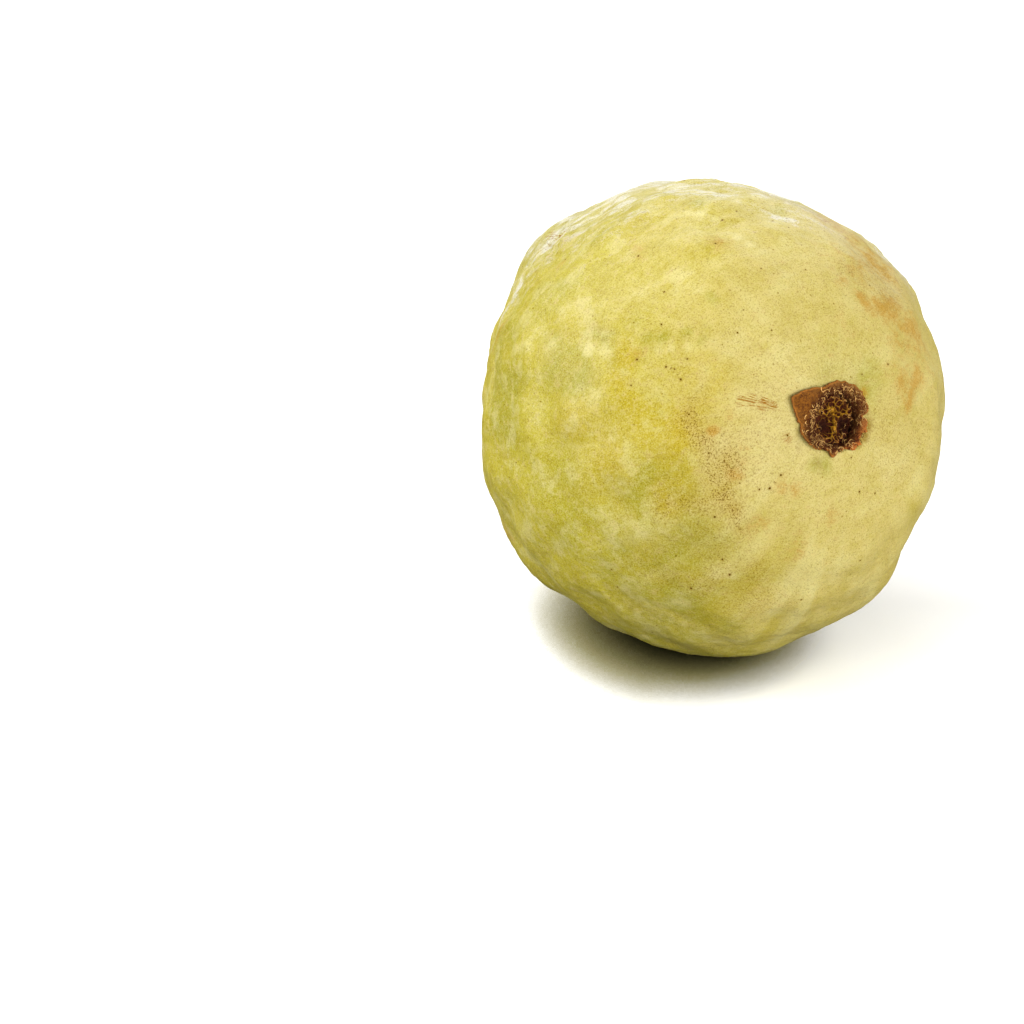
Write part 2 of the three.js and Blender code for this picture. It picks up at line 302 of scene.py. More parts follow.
EQUATOR_RADIUS = 45.0
CALYX_LENGTH, STEM_LENGTH = 43.5, 48.5
AXIS_TILT = 21.4
SWELLINGS = [  # bearing, polar, height, width
    (114, 119, 3.5, 11), (92, 95, 1.3, 19), (257, 81, 1.9, 20), (296, 64, 1.9, 10),
    (338, 66, -2.5, 18), (162, 119, -2.6, 13), (30, 71, 1.4, 14), (56, 70, -1.0, 16),
]
STEM_DIMPLE = (5.2, 13)  # depth, width
CALYX_BASIN = (0.5, 14)
STEM_FOLDS = (9, 0.55, 163, 11)  # count, height, polar, width
CALYX_RIBS = (10, 0.12, 38, 20)
ROLL = (27, 0.3, 24, 0.4)  # wavelength, height, waves, turn
HAMMERING = (11.5, 0.26, 36, 1.7)
CALYX_PIT, STEM_PIT = (5.85, 4.05), (3.65, 2.55)  # radius, depth
CALYX_OFFSET = 1.0  # the calyx sits this far to +X of the axis
COLUMNS, ROWS = 400, 226
SAMPLES = 20000  # directions tried to find the form's own box

GOLDEN_ANGLE = math.pi * (3 - math.sqrt(5))
GOLDEN_SHARE = (math.sqrt(5) - 1) / 2


def direction(bearing, polar):
    b, p = np.radians(bearing), np.radians(polar)
    return np.stack([np.sin(p) * np.cos(b), np.sin(p) * np.sin(b), np.cos(p) * np.ones_like(b)], axis=-1)


def bump(distance, width):
    return np.exp(-((distance / width) ** 2))


def smoothstep(value, start, end):
    share = np.clip((value - start) / (end - start), 0, 1)
    return share * share * (3 - 2 * share)


def unevenness(points, wavelength, waves, turn):
    """Plane waves spread by the golden angle: even and directionless, of about unit height."""
    total = np.zeros(len(points))
    for i in range(waves):
        z = 1 - (2 * i + 1) / waves
        ring, spin = math.sqrt(1 - z * z), i * GOLDEN_ANGLE + turn
        along = points @ np.array([ring * math.cos(spin), ring * math.sin(spin), z])
        length = wavelength * (0.75 + 0.5 * ((i * GOLDEN_SHARE) % 1))
        total += np.sin(2 * math.pi * along / length + 0.9 * i * i + 7 * turn)
    return total / math.sqrt(waves / 2)


def angle_of(cosine):
    return np.degrees(np.arccos(np.clip(cosine, -1, 1)))


def angle_to(directions, bearing, polar):
    return angle_of(directions @ direction(bearing, polar))


def degrees_from(angles, at):
    """How far past a bearing, from -180 to 180."""
    return (angles - at + 180) % 360 - 180


def unit(vectors):
    return vectors / np.linalg.norm(vectors, axis=1)[:, None]


def skin_radius(directions):
    cosine = directions[:, 2]
    polar = angle_of(directions[:, 2])
    bearing = np.arctan2(directions[:, 1], directions[:, 0])
    length = np.where(cosine > 0, CALYX_LENGTH, STEM_LENGTH)
    bluntness = np.where(cosine > 0, 2.15, 2.0)
    sine = np.sqrt(np.maximum(1 - cosine * cosine, 0))
    radius = ((sine / EQUATOR_RADIUS) ** bluntness + (abs(cosine) / length) ** bluntness) ** (-1 / bluntness)
    for at, down, height, width in SWELLINGS:
        radius += height * bump(angle_to(directions, at, down), width)
    on_egg = directions * EQUATOR_RADIUS
    roughness = 0.25 + 0.75 * smoothstep(polar, 12, 62)
    radius += ROLL[1] * unevenness(on_egg, ROLL[0], *ROLL[2:])
    radius += HAMMERING[1] * roughness * unevenness(on_egg, HAMMERING[0], *HAMMERING[2:])
    for count, height, at, width in (STEM_FOLDS, CALYX_RIBS):
        wander = 0.35 * np.sin(2 * bearing + 1) + 0.25 * np.sin(3 * bearing)
        radius += height * np.cos(count * bearing + wander) * bump(polar - at, width)
    radius -= STEM_DIMPLE[0] * bump(180 - polar, STEM_DIMPLE[1])
    return radius - CALYX_BASIN[0] * bump(polar, CALYX_BASIN[1])


tilt = math.radians(AXIS_TILT)
TO_PART = np.array([[1, 0, 0], [0, math.sin(tilt), math.cos(tilt)], [0, -math.cos(tilt), math.sin(tilt)]])

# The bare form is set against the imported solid's box, so the finer skin lies where the solid does.
counted = np.arange(SAMPLES)
sample = direction(np.degrees(counted * GOLDEN_ANGLE), angle_of(1 - 2 * (counted + 0.5) / SAMPLES))
form = (sample * skin_radius(sample)[:, None]) @ TO_PART
heart = np.array([
    1000 * middle.x - (form[:, 0].min() + form[:, 0].max()) / 2,
    1000 * middle.y - (form[:, 1].min() + form[:, 1].max()) / 2,
    1000 * high.z - form[:, 2].max(),
])


def laid_down(points):
    """Points of the fruit's own frame, in millimetres, where they lie on the table, in metres."""
    return (points @ TO_PART + heart) / 1000


def noise_at(points, size, shift=0.0):
    return np.array([noise.noise(Vector(p)) for p in (points / size + shift).tolist()])


def ridges_at(points, size, shift=0.0):
    places = (points / size + shift).tolist()
    return np.array([noise.ridged_multi_fractal(Vector(p), 0.9, 2.1, 3, 1.0, 1.8) for p in places])


CALYX_POLE = float(skin_radius(np.array([[0.0, 0.0, 1.0]]))[0])
STEM_POLE = float(skin_radius(np.array([[0.0, 0.0, -1.0]]))[0])

# Finer relief than the solid's: the slack skin of the shoulder is wrinkled like soft leather, mostly
# round the axis, and small unevenness lies all over. It fades near the calyx, where the skin is tight.
WRINKLE_SIZE, WRINKLE_SQUEEZE, WRINKLE_HEIGHT = 6.5, 1.8, 0.45
GRAIN_SIZE, GRAIN_HEIGHT = 2.6, 0.035
RIB_SIZE, RIB_HEIGHT = 7.5, 0.08


def fine_relief(directions):
    """Height in mm of the finer relief, the crests of its wrinkles and the ribs that run to the calyx."""
    points = directions * EQUATOR_RADIUS
    polar = angle_of(directions[:, 2])
    bearing = np.arctan2(directions[:, 1], directions[:, 0])
    folds = ridges_at(points * [1, 1, WRINKLE_SQUEEZE], WRINKLE_SIZE)
    patch = noise_at(points, 17, [3.1, 0.4, 7.7])
    slack = smoothstep(polar, 34, 80) * (1 - smoothstep(polar, 158, 168))
    slack *= np.clip(0.7 + 1.1 * patch, 0.15, 1.3)
    upper = 0.35 + 0.65 * smoothstep((directions @ TO_PART)[:, 2], -0.1, 0.75)
    wrinkles = slack * upper * (folds - folds.mean())
    tight = 0.35 + 0.65 * smoothstep(polar, 14, 50)
    grain = tight * unevenness(points, GRAIN_SIZE, 48, 2.9)
    round_axis = np.stack([np.cos(bearing), np.sin(bearing), polar / 300], axis=-1) * EQUATOR_RADIUS
    near_calyx = smoothstep(polar, 16, 32) * (1 - smoothstep(polar, 55, 80))
    below = 0.25 + 0.75 * bump(degrees_from(np.degrees(bearing), 262), 60)
    ribs = near_calyx * below * unevenness(round_axis, RIB_SIZE, 40, 5.2)
    height = WRINKLE_HEIGHT * wrinkles + GRAIN_HEIGHT * grain + RIB_HEIGHT * ribs
    return height, smoothstep(wrinkles, 0.3, 1.0), ribs


bearings, skin_ring = unit_ring(COLUMNS)
first_polar = math.degrees(math.atan2(CALYX_PIT[0], CALYX_POLE)) + 0.1
last_polar = 180 - math.degrees(math.atan2(STEM_PIT[0], STEM_POLE)) - 0.1
polars = np.linspace(first_polar, last_polar, ROWS)
skin_directions = direction(*(a.ravel() for a in np.meshgrid(np.degrees(bearings), polars)))
shift = (1 - smoothstep(angle_of(skin_directions[:, 2]), 8, 40)) * CALYX_OFFSET / CALYX_POLE
skin_directions[:, 0] += shift
skin_directions = unit(skin_directions)
finer, crests, rib_heights = fine_relief(skin_directions)
skin = skin_directions * (skin_radius(skin_directions) + finer)[:, None]
calyx_floor, stem_floor = CALYX_POLE - CALYX_PIT[1], -STEM_POLE + STEM_PIT[1]
PIT_ROWS = [(0.5, 0), (0.98, 0), (1, 0.3)]  # share of the pit's radius, and height above its floor in mm
pit_rows = [skin_ring * CALYX_PIT[0] * share + [CALYX_OFFSET, 0, calyx_floor + up] for share, up in PIT_ROWS]
end_rows = [skin_ring * STEM_PIT[0] * share + [0, 0, stem_floor - up] for share, up in PIT_ROWS[::-1]]
points, faces = closed_body(
    [CALYX_OFFSET, 0, calyx_floor], pit_rows + [skin] + end_rows, [0, 0, stem_floor], COLUMNS, flipped=False
)

placed = laid_down(points)
SPOT_SOFTNESS = 0.00022  # the skin rolls off the flat spot instead of ending at an edge
placed[:, 2] = SPOT_SOFTNESS * np.logaddexp(0, placed[:, 2] / SPOT_SOFTNESS)
fruit = mesh_object("fruit_skin", placed, faces)

# Where the colours lie. Each patch is (bearing, polar, reach, strength), in degrees, and its edge is
# broken up by a slow noise. The far side has more patches of each colour, by the golden angle.
# Green patches are the skin's own green. The broad ones low on the underside, by the table, also darken it
# there as painted shade.
GREEN = [
    (149, 94, 11, 1), (163, 92, 10, 1), (182, 47, 11, 0.5), (212, 47, 14, 0.9), (231, 56, 15, 0.9),
    (146, 55, 4, 0.5), (142, 47, 3, 0.5), (139, 39, 4, 0.4), (138, 80, 9, 0.45), (24, 12, 2.4, 1.1),
    (250, 10.5, 2.8, 0.9), (236, 11, 2.6, 0.7), (233, 40, 4, 0.35), (248, 48, 6, 0.4), (280, 72, 14, 0.6),
    (118, 99, 13, 0.35), (196, 62, 12, 0.5), (258, 84, 18, 0.8), (300, 86, 12, 0.4), (141, 48, 1.7, 1),
    (140, 45, 1.6, 1), (138, 41, 1.8, 0.9), (137, 37, 1.6, 0.8), (146, 61, 1.7, 1), (147, 58, 1.8, 1),
    (146, 64, 1.5, 0.7), (120, 41, 2.2, 0.7), (135, 79, 3, 0.7), (96, 67, 2.6, 0.8), (120, 79, 3, 0.6),
    (117, 90, 4, 0.5), (138, 53, 3, 0.5), (76, 59, 3, 0.6), (190, 70, 14, 0.5), (226, 61, 8, 0.9),
    (196, 44, 5, 0.5), (207, 62, 9, 0.6), (240, 80, 14, 0.8), (36, 13.5, 2.6, 0.9), (238, 10.8, 2.4, 0.9),
    # The patch at bearing 184, polar 41, with the gold one at 185, 40, is painted shade and yellow bounce
    # from a neighbouring fruit that is not built here.
    (188, 47, 8, 0.9), (45, 12, 7, 0.65), (154, 68, 7, 0.9), (184, 41, 8, 0.5),
]
GOLD = [
    (160, 49, 10, 1), (173, 43, 9, 0.9), (151, 70, 12, 0.45), (104, 51, 5, 0.5), (171, 57, 12, 0.8),
    # The patch at bearing 185, polar 40 is painted shade and yellow bounce from a neighbouring fruit that is
    # not built here.
    (185, 40, 10, 1.1), (150, 34, 9, 0.6), (124, 42, 9, 0.35), (112, 68, 12, 0.5), (90, 80, 16, 0.4),
    (70, 95, 14, 0.4), (230, 30, 10, 0.3),
]
# Pale cream mottles of the skin. The small ones near the top, bearings 82 to 101, set in short lines, are
# painted highlights along wrinkles.
PALE = [
    (122, 57, 6, 0.5), (148, 56, 4, 0.2), (134, 56, 5, 0.37), (140, 72, 7, 0.31), (168, 16, 9, 0.19),
    (217, 16, 8, 0.19), (313, 26, 12, 0.43), (108, 25, 14, 0.31), (275, 40, 11, 0.31), (129, 34, 10, 0.25),
    (338, 27, 9, 0.25), (95, 68, 12, 0.25), (54, 55, 10, 0.25), (0, 50, 14, 0.31), (30, 25, 10, 0.22),
    (143, 46, 1.5, 1), (142, 43, 1.6, 1), (140, 39, 1.6, 1), (150, 62, 2, 0.9), (150, 58, 2.2, 0.9),
    (150, 74, 3.5, 0.8), (101, 65, 1.6, 1), (99, 63, 1.4, 1), (97, 60, 1.4, 1), (95, 57, 1.3, 0.9),
    (96, 51, 1.3, 0.9), (94, 48, 1.4, 0.8), (92, 45, 1.3, 0.7), (82, 47, 1.8, 0.6), (89, 75, 2.2, 1),
    (87, 65, 2, 0.7), (83, 59, 1.8, 0.8), (93, 83, 3, 0.9), (108, 47, 4, 0.37), (119, 52, 5, 0.43),
    (146, 72, 4, 0.43), (152, 76, 4, 0.37), (232, 45, 5, 0.6), (259, 50, 6, 0.5),
]
RUSSET = [
    (47, 53, 6.5, 0.9), (41, 49, 6, 0.9), (52, 47, 4, 0.7), (44, 34, 4.5, 1.2), (37, 36, 3.5, 1),
    (34, 37, 4, 1.1), (24, 42, 5, 1), (62, 36, 5, 0.6), (70, 30, 5, 0.4), (7, 31, 4, 1), (12, 26, 3.5, 0.9),
    (173, 30, 1.7, 1.1), (162, 27, 1.6, 0.4), (196, 27, 2.4, 0.8), (234, 17, 2.6, 0.6), (225, 19, 3.2, 0.5),
    (264, 22, 2.6, 0.7), (226, 30, 2.4, 0.7), (251, 33, 3.2, 0.5), (189, 23, 3, 0.3), (55, 62, 9, 0.6),
    (18, 11, 1.5, 1.2), (25, 30, 12, 0.3), (22, 34, 6, 0.5), (50, 50, 13, 0.45), (20, 34, 7, 0.5),
    (120, 65, 2.5, 0.5), (104, 51, 2.4, 0.7), (126, 90, 4, 0.6), (146, 49, 2.2, 0.5),
]
STAINED = [  # where the skin has browned against the calyx
    (341, 10.4, 2.3, 1.3), (326, 10, 2.3, 1.3), (312, 9.6, 2, 1.1), (0, 10.6, 1.6, 0.8), (34, 12, 1.8, 0.7),
    (236, 10.2, 2, 0.5), (200, 10.4, 1.6, 0.5), (150, 13.8, 1, 0.4), (80, 11.2, 1.5, 0.4),
]
SCRATCHED = [
    (156, 24, 1.6, 1), (154, 21, 1.8, 1), (155, 17, 2, 1), (155, 14, 1.4, 0.8), (191, 12, 1.6, 0.7),
]
# Where a whitish sheen is painted on the upper shoulder: a painted highlight for the lights behind.
PAINTED_SHEEN = [
    (94, 106, 34, 1.2), (62, 92, 30, 1.2), (36, 74, 20, 0.8), (120, 108, 11, 1.1), (137, 105, 8, 1),
    (83, 61, 8, 0.45), (91, 76, 12, 0.95), (77, 66, 9, 0.9), (63, 62, 9, 0.7), (112, 88, 10, 0.7),
]
FRECKLES = [
    (178, 31, 5, 0.9), (192, 30, 6, 1), (206, 30, 6, 1), (218, 34, 6, 0.8), (198, 38, 9, 0.6),
    (224, 44, 9, 0.35), (245, 45, 9, 0.4), (218, 50, 8, 0.5), (44, 42, 9, 0.5), (180, 24, 9, 0.4),
    (330, 24, 12, 0.3),
]
PATCHED_BY_RULE = 30  # places tried for the patches by the golden angle
PATCH_WANDER, OUTLINE_WAVES = 0.055, (14, 24)  # how far outlines wander, and wavelength and waves of it
SMALL_PATCH, SMALL_WANDER = 3.5, 0.2


def patches(directions, chosen, reach, strength, turn):
    """How strongly each direction is in a patch. Every outline wanders, a small patch's the least."""
    on_egg = directions * EQUATOR_RADIUS
    waves = [unevenness(on_egg, *OUTLINE_WAVES, turn + k) for k in range(3)]
    wander = PATCH_WANDER * np.stack(waves, axis=-1)
    wandering, near_by = unit(directions + wander), unit(directions + SMALL_WANDER * wander)
    total = np.zeros(len(directions))
    for at, down, wide, much in chosen:
        places = wandering if wide > SMALL_PATCH else near_by
        total = np.maximum(total, much * bump(angle_to(places, at, down), wide))
    for i in range(PATCHED_BY_RULE):
        down = angle_of(1 - 2 * (i + 0.5) / PATCHED_BY_RULE)
        at = math.degrees(i * GOLDEN_ANGLE + turn) % 360
        unseen = down > 100 or (down > 58 and (at < 20 or at > 300))
        if unseen and (i * GOLDEN_SHARE + turn) % 1 < 0.55:
            wide = reach * (0.5 + (i * 0.73) % 1)
            total = np.maximum(total, strength * bump(angle_to(wandering, at, down), wide))
    return total


everywhere = unit(points)
polar_of = angle_of(everywhere[:, 2])
bearing_of = np.arctan2(everywhere[:, 1], everywhere[:, 0])
PATCHED = {  # the chosen ones, and then the reach, the strength and the turn of those by the golden angle
    "green": (GREEN, 13, 0.7, 0.3), "gold": (GOLD, 14, 0.6, 1.1), "pale": (PALE, 11, 0.5, 2.2),
    "russet": (RUSSET, 6, 0.6, 3.4), "stained": (STAINED, 1, 0, 0.9), "freckles": (FRECKLES, 8, 0.6, 4.5),
    "bloom": (PAINTED_SHEEN, 14, 0.55, 5.6), "scratched": (SCRATCHED, 2.5, 0.5, 6.7),
}
for name, chosen_and_rule in PATCHED.items():
    patched = patches(everywhere, *chosen_and_rule)
    if name == "green":  # the stem's dimple is green too
        patched = np.maximum(patched, 0.75 * smoothstep(polar_of, 150, 172))
    mark(fruit, name, patched)

# The side that was turned to the sun is creamy, the other a deeper yellow.
SUN_SIDE = (340, 28)
mark(fruit, "cream", smoothstep(everywhere @ direction(*SUN_SIDE), -0.35, 0.85))
before, after = (np.zeros(1 + COLUMNS * len(rows)) for rows in (pit_rows, end_rows))
# The crest mark is where a pale highlight is painted on the wrinkles' crests.
for name, values in (("crest", crests), ("ribs", rib_heights)):
    mark(fruit, name, np.concatenate([before, values, after]))

# Corky dots: (bearing, polar, radius in mm), a few placed and the rest by rule. Each vertex keeps its
# way to the nearest dot, which the material measures, so a dot is crisp however coarse the mesh.
DOTS = [
    (150, 49, 0.238), (150, 42, 0.204), (150, 40, 0.17), (145, 38, 0.17), (137, 47, 0.178),
    (127, 51, 0.187), (121, 63, 0.204), (105, 51, 0.221), (125, 31, 0.17), (231, 44, 0.255),
    (226, 53, 0.246), (214, 18, 0.246), (185, 12, 0.238), (289, 20, 0.221), (300, 24, 0.212),
    (283, 39, 0.187), (153, 38, 0.221), (166, 35, 0.178), (215, 22, 0.255), (50, 39, 0.187), (98, 40, 0.17),
    (211, 24, 0.204), (295, 11, 0.187), (158, 49, 0.153),
]
DOTS_BY_RULE = 90
dot_rule = np.arange(DOTS_BY_RULE)
dot_bearings, dot_polars, dot_sizes = np.array(DOTS).T
dot_spots = np.concatenate([
    direction(dot_bearings, dot_polars),
    direction(
        np.degrees(dot_rule * GOLDEN_ANGLE * 7.3 + 2 * np.sin(1.7 * dot_rule)),
        angle_of(np.clip(1 - 2 * (dot_rule + 0.5) / DOTS_BY_RULE, -0.96, 0.97)),
    ),
])
dot_sizes = np.concatenate([dot_sizes, 0.11 + 0.14 * ((dot_rule * GOLDEN_SHARE) % 1) ** 2])
nearest = np.argmax(everywhere @ dot_spots.T, axis=1)
mark(fruit, "way_to_dot", (everywhere - dot_spots[nearest]) * EQUATOR_RADIUS)
mark(fruit, "dot_size", dot_sizes[nearest])

# Streaks run along the meridians: round the axis they change fast, along it slowly.
streak_place = [EQUATOR_RADIUS * np.cos(bearing_of), EQUATOR_RADIUS * np.sin(bearing_of), polar_of / 7]
mark(fruit, "streak_place", np.stack(streak_place, axis=-1))

# The skin's finish.
GREEN_YELLOW, GOLDEN, CREAM = paint(216, 201, 46), paint(212, 188, 22), paint(228, 208, 118)
PALE_CREAM, OLIVE_YELLOW, LEAF_GREEN = paint(250, 238, 158), paint(196, 177, 26), paint(176, 170, 10)
ORANGE_RUSSET, PORE_BROWN, FRECKLE_BROWN = paint(206, 148, 44), paint(140, 106, 14), paint(118, 80, 14)
DOT_BROWN, STREAK_BROWN, SHEEN_WHITE = paint(104, 64, 0), paint(176, 142, 44), paint(255, 250, 222)
STAIN_BROWN, FRECKLED_GROUND, SCRATCH_BROWN = paint(146, 110, 22), paint(194, 156, 66), paint(168, 104, 18)
# The streaks in the next line are those of the painted sheen, whitish highlight streaks.
SHEEN_STREAK = (6.5, 1.7, 6.5)  # mm, how long the streaks of bloom are, across the shoulder and down it
SKIN_SHADE = 0.62  # the colours above are those of the lit skin, so all are taken down by this


def in_millimetres(tree):
    place = wire(tree, "ShaderNodeTexCoord", "Object")
    return wire(tree, "ShaderNodeMapping", "Vector", {"Vector": place, "Scale": (1000, 1000, 1000)})


def fractal(place, scale, detail=2.0, rough=0.5, distortion=0.0):
    inputs = {"Vector": place, "Scale": scale, "Detail": detail, "Roughness": rough, "Distortion": distortion}
    return wire(tree_of(place), "ShaderNodeTexNoise", 0, inputs)


def cloud(place, scale, detail, rough, shift=0.0):
    return fractal(vector_maths("ADD", place, (shift, shift * 1.7, -shift)), scale, detail, rough)


def layered(colour, *layers):
    """A colour under others, each given with its share."""
    for share, over in layers:
        colour = blended(share, colour, over)
    return colour


def broken(mask, cloud_value, much, low_in, high_in):
    """A soft mask whose edge is broken up by a cloud."""
    return mapped(mask + (cloud_value - 0.5) * much, low_in, high_in)


def specks(place, to_the_mm, smallest, largest, share):
    """Round specks, one to a cell at most, of any size between the two and any strength."""
    tree = tree_of(place)
    cell = add(tree, "ShaderNodeTexVoronoi", {"Vector": place, "Scale": to_the_mm}).outputs
    chance = add(tree, "ShaderNodeSeparateColor", {"Color": Wire(cell["Color"])}).outputs
    size = ramped(Wire(chance["Red"]), 0, 1, smallest * to_the_mm, largest * to_the_mm)
    speck = mapped(Wire(cell["Distance"]) / size, 1.3, 0.6)
    return speck * ramped(Wire(chance["Green"]), 1 - share, 1.0)


skin_finish, tree = new_material("guava skin")
marks = "green gold pale russet stained freckles bloom scratched cream crest ribs dot_size"
green, gold, pale, russet, stained, freckled, bloom, scratched, cream, crest, ribs, dot_size = (
    attribute(tree, name) for name in marks.split()
)
way_to_dot, streaks_at = (attribute(tree, name, "Vector") for name in ("way_to_dot", "streak_place"))
place = in_millimetres(tree)
drawn_out = wire(
    tree, "ShaderNodeMapping", "Vector", {"Vector": place, "Rotation": (0.5, 0, 0.35), "Scale": (0.62, 1, 1)}
)
wide_cloud = cloud(place, 0.07, 3, 0.55)
mid_cloud = cloud(drawn_out, 0.20, 5, 0.62, 5.0)
small_cloud = cloud(drawn_out, 0.7, 4, 0.62, 11.0)
fine_cloud = cloud(place, 3.4, 2, 0.6, 17.0)
speckled = small_cloud * 0.6 + fine_cloud * 0.4

sunny = mapped(cream + mapped(wide_cloud, 0.3, 0.7, -0.15, 0.15), 0, 1)
colour = layered(
    blended(sunny, GREEN_YELLOW, CREAM),
    (broken(gold, mid_cloud, 0.9, 0.1, 0.95), GOLDEN),
    (broken(green, mid_cloud, 0.9, 0.0, 0.95) * 0.8, LEAF_GREEN),
    (broken(pale, mid_cloud, 1.4, 0.1, 1.0) * 0.72, PALE_CREAM),
)

# Mottling at three sizes, paler and more olive than the ground, weaker on the creamy side.
calm = mapped(cream, 0.3, 1.0, 1.0, 0.5)
for mottle, much, soft in ((mid_cloud, 0.46, 0.13), (small_cloud, 0.34, 0.15), (fine_cloud, 0.30, 0.16)):
    for mottle_colour, end in ((PALE_CREAM, 0.5 + soft), (OLIVE_YELLOW, 0.5 - soft)):
        colour = blended(mapped(mottle, 0.5, end, 0, much) * calm, colour, mottle_colour)

# Painted sheen: whitish streaks painted over the upper shoulder, thickest on the wrinkles' crests,
# stand in for the glare of the lights behind.
sheen_place = wire(
    tree, "ShaderNodeMapping", "Vector",
    {"Vector": place, "Rotation": (0, 0, round_by), "Scale": SHEEN_STREAK}, vector_type="TEXTURE",
)
sheen_streaks = mapped(cloud(sheen_place, 1.0, 3, 0.6, 41.0), 0.42, 0.60, 0.25, 1.35)
bloom = broken(bloom, speckled, 2.6, 0.3, 1.0) * maths("MAXIMUM", sheen_streaks, mapped(crest, 0, 1, 0.2, 1.0))
bloom *= mapped(mid_cloud, 0.38, 0.56, 0.5, 1.0)
streaks = fractal(streaks_at, 0.42, 3, 0.6)
russet = broken(russet, speckled, 3.4, 0.05, 1.15)
stained = broken(stained, speckled, 1.6, 0.15, 0.95)

# Pores are pale brown specks all over, with a few dark ones among them, and the freckled patches have a
# close stipple. Scratches have healed brown.
pore = specks(place, 0.95, 0.08, 0.20, 0.9)
stipple = cloud(place, 3.3, 3, 0.8, 29.0)
freckle = mapped(stipple + freckled * 0.025, 0.52, 0.64) * mapped(freckled, 0, 1, 0.45, 0.95)
small_dot = mapped(specks(place, 0.22, 0.08, 0.18, 0.5), 0, 0.4)
scratch = mapped(maths("ABSOLUTE", fractal(streaks_at, 0.9, 2, 0.5, 0.8) - 0.5), 0.05, 0.02)
scratch *= mapped(scratched, 0.2, 0.6)
far = vector_maths("LENGTH", way_to_dot, output="Value")
dot = mapped((far + (fine_cloud - 0.5) * 0.25) / dot_size, 1.1, 0.5)

colour = layered(
    colour,
    (mapped(ribs, 0.1, 1.6, 0, 0.42), PALE_CREAM),  # pale on the ribs, olive between them
    (mapped(ribs, -0.1, -1.6, 0, 0.45), OLIVE_YELLOW),
    # painted highlight: the wrinkles' crests are painted pale
    (crest * 0.7, PALE_CREAM),
    # painted sheen: whitish streaks over the shoulder
    (maths("MULTIPLY", bloom, 0.9, clamp=True), SHEEN_WHITE),
    (mapped(streaks, 0.56, 0.74, 0, 0.18), STREAK_BROWN),
    (mapped(streaks, 0.44, 0.28, 0, 0.18), PALE_CREAM),
    (russet * 0.7, ORANGE_RUSSET),
    (stained * 0.75, STAIN_BROWN),
    (pore * 0.6, PORE_BROWN),
    (freckled * 0.45, FRECKLED_GROUND),
    (mapped(stipple, 0.46, 0.34, 0, 0.35), PALE_CREAM),
    (freckle, FRECKLE_BROWN),
    (small_dot * 0.75, DOT_BROWN),
    (scratch, SCRATCH_BROWN),
    (mapped(far / dot_size, 2.8, 0.8) * 0.4, STREAK_BROWN),  # a halo round each dot
    (dot * 0.95, DOT_BROWN),
)
colour = blended(1.0, colour, (SKIN_SHADE,) * 3 + (1.0,), "MULTIPLY")

height = cloud(place, 0.75, 4, 0.6, 23.0) * 0.16 + small_cloud * 0.08 + fine_cloud * 0.03 + bloom * 0.08
height = height - pore * 0.03 - dot * 0.06

# Whatever is corky has no wax on it.
corky = maths("MAXIMUM", maths("MAXIMUM", russet, stained), freckled) * 0.7
for rough_spot in (dot, small_dot, pore, freckle, scratch):
    corky = maths("MAXIMUM", corky, rough_spot, clamp=True)
finish(tree, "ShaderNodeBsdfPrincipled", {
    "Base Color": colour, "Normal": bumped(height, 0.001),
    "Roughness": mapped(small_cloud, 0.3, 0.7, 0.40, 0.54) + russet * 0.12,
    "Subsurface Weight": mapped(corky, 0, 1, 0.12, 0), "Subsurface Radius": (1.0, 0.7, 0.25),
    "Subsurface Scale": 0.0018, "Coat Weight": mapped(corky, 0, 1, 0.06, 0), "Coat Roughness": 0.34,
    "Specular IOR Level": mapped(corky, 0, 1, 0.26, 0),
})

fruit.data.materials.append(skin_finish)
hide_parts("fruit")
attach(fruit, "root")

# ------------------------------------------------------------
# Calyx: the dried sepals, grown together into a leathery cup that is sunk in the skin. Its lobes lie out
# over the skin: two broad, one short, one shrunk to a tip and one torn off at the rim.
# Sizes are from the cup's own middle, at the skin's height.

CALYX_NECK, CALYX_DEPTH = 5.5, 3.7
CUP_LIP, CUP_FLOOR = 5.05, -3.0
SEPALS = [  # bearing, reach, spread, bluntness of the tip
    (146, 10.1, 54, 1.3), (30, 7.8, 92, 0.8), (-57, 6.9, 18, 0.5), (-106, 7.0, 9, 0.8), (-172, 8.0, 40, 0.6),
]
LONGEST_REACH = 9.9
NOTCHES = [(-5, 1.5, 4), (-38, 0.5, 8), (-88, 0.4, 7)]  # bearing, depth, width
SEPAL_CLEARANCE, SEPAL_THICKNESS = 0.35, 0.85
RIM_REACH = 5.95
CALYX_COLUMNS = 420
LOBE_ROWS, CUP_ROWS = 16, 12


def sepal_reach(angles):
    reach = np.full(len(angles), RIM_REACH)
    for at, far, spread, bluntness in SEPALS:
        share = np.clip(1 - abs(degrees_from(angles, at)) / spread, 0, 1)
        reach = np.maximum(reach, RIM_REACH + (far - RIM_REACH) * share ** bluntness)
    for at, depth, width in NOTCHES:
        reach -= depth * bump(degrees_from(angles, at), width)
    return np.clip(reach, CALYX_NECK + 0.15, LONGEST_REACH)


turn, ring = unit_ring(CALYX_COLUMNS)
calyx_bearings = np.degrees(turn)
torn = 0.30 * noise_at(ring * 5, 0.55) + 0.16 * noise_at(ring * 5, 0.21, 4.0)
torn *= 1 + 1.3 * bump(degrees_from(calyx_bearings, 318), 42)
edge = sepal_reach(calyx_bearings) + torn
lifted = bump(degrees_from(calyx_bearings, 215), 26)
lobed = smoothstep(sepal_reach(calyx_bearings) - RIM_REACH, 0.1, 0.9)


def skin_under(place_on_lobe):
    """The skin's height, from the calyx's own level, under points beside the cup."""
    aimed = place_on_lobe + [CALYX_OFFSET, 0, 0]
    aimed[:, 2] = CALYX_POLE
    aimed = unit(aimed)
    return skin_radius(aimed) * aimed[:, 2] - CALYX_POLE


